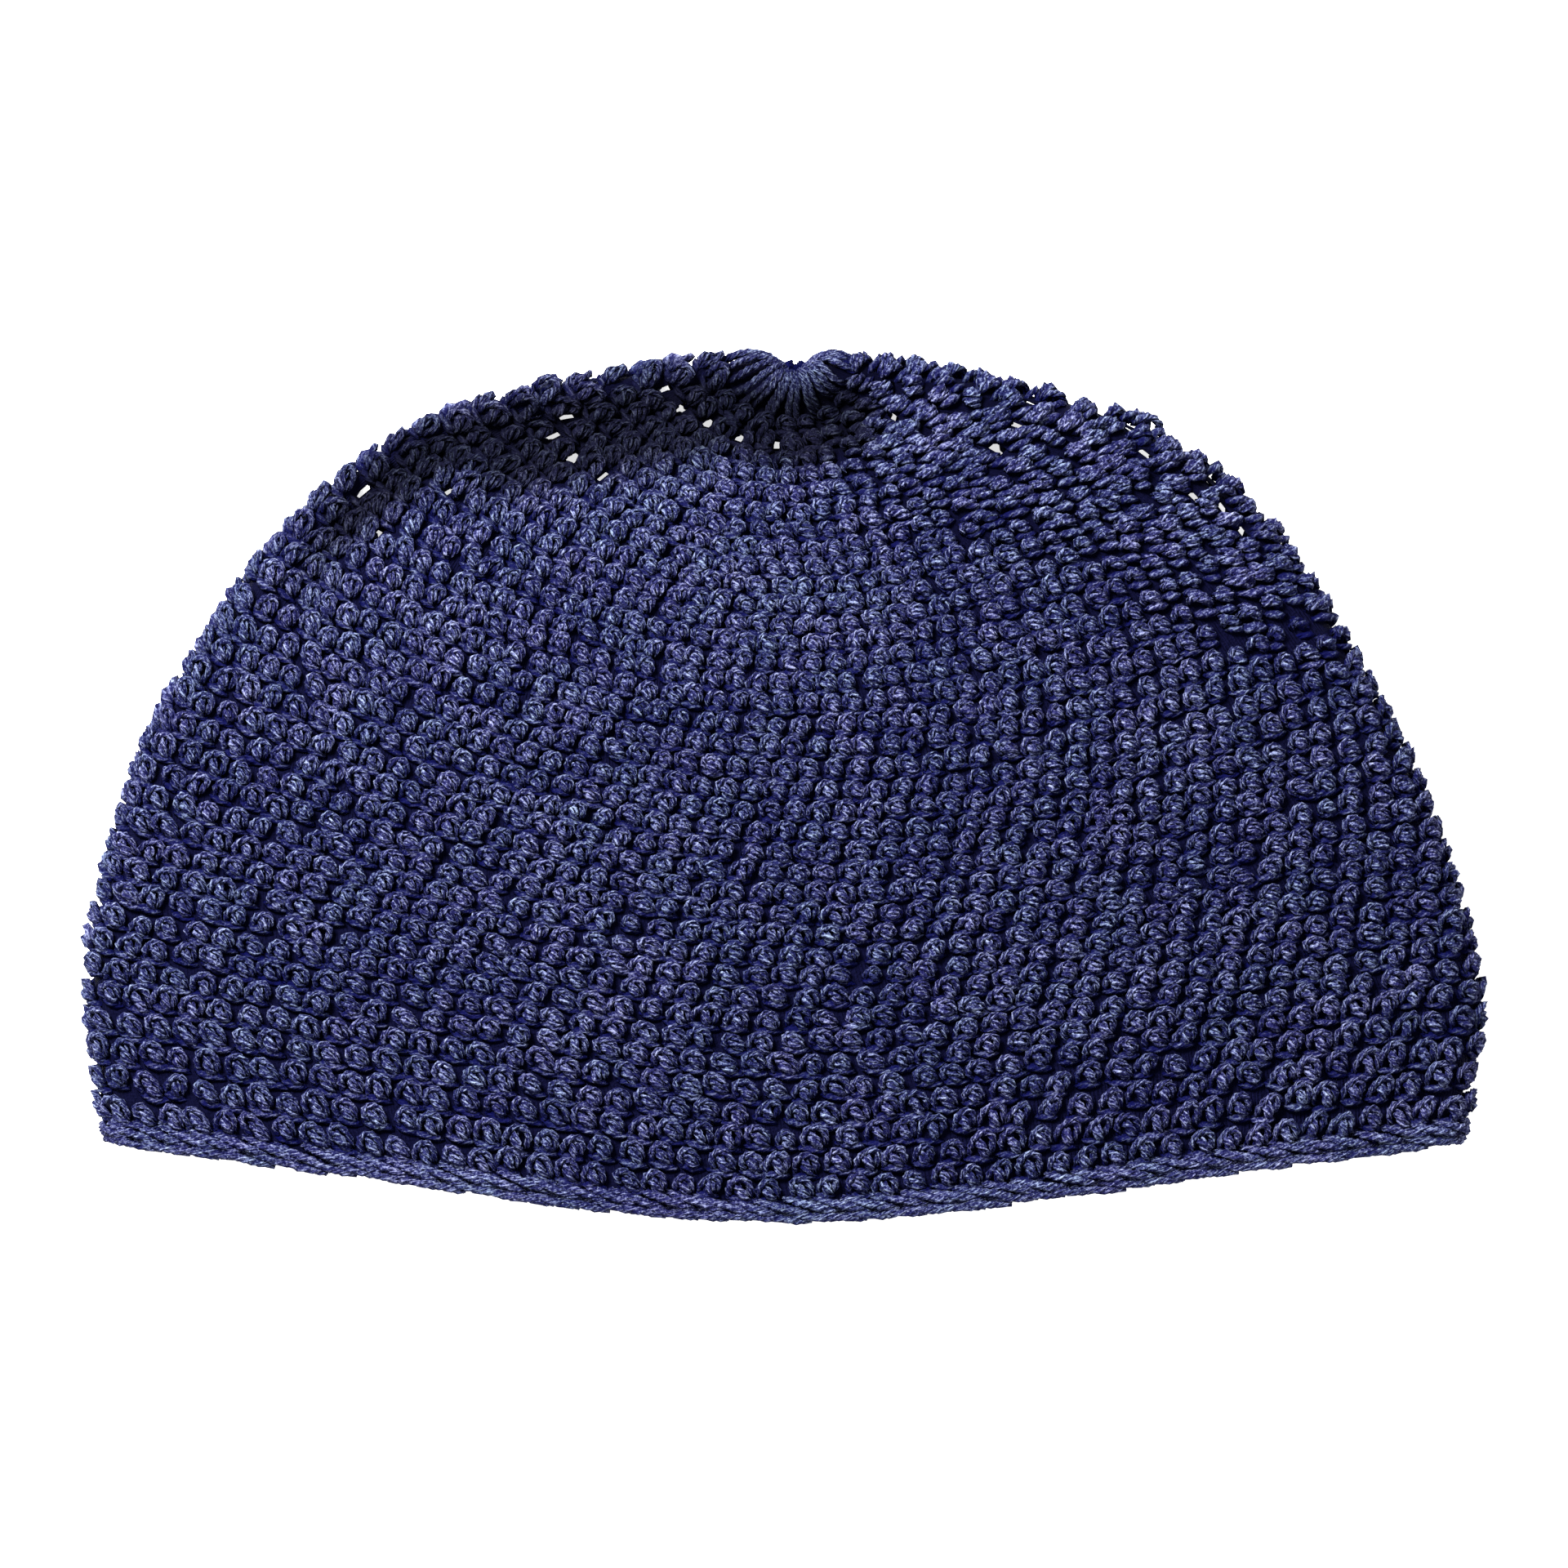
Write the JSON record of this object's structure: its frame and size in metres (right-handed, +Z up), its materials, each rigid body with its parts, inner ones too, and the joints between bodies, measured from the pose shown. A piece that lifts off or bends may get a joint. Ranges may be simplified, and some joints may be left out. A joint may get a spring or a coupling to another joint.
{
  "type": "kufi cap",
  "caption": "Close-fitting brimless crocheted skullcap with a gathered centre, lying folded flat on its side, hollow and open at the rim.",
  "frame": {"origin": "on the surface the cap lies on, under the middle of the folded cap", "axes": "+Z up from the surface; +Y towards the crown's fold and its gathered centre, so the mouth opens towards -Y; +X from one side fold to the other"},
  "size_m": [0.27, 0.1685, 0.0284],
  "materials": {
    "navy_yarn": "matt plied yarn with a soft fuzz, in single crochet"
  },
  "bodies": {
    "root": {"crocheted_wall": "navy_yarn", "crown_button": "navy_yarn", "rim_edging": "navy_yarn"}
  },
  "joints": []
}
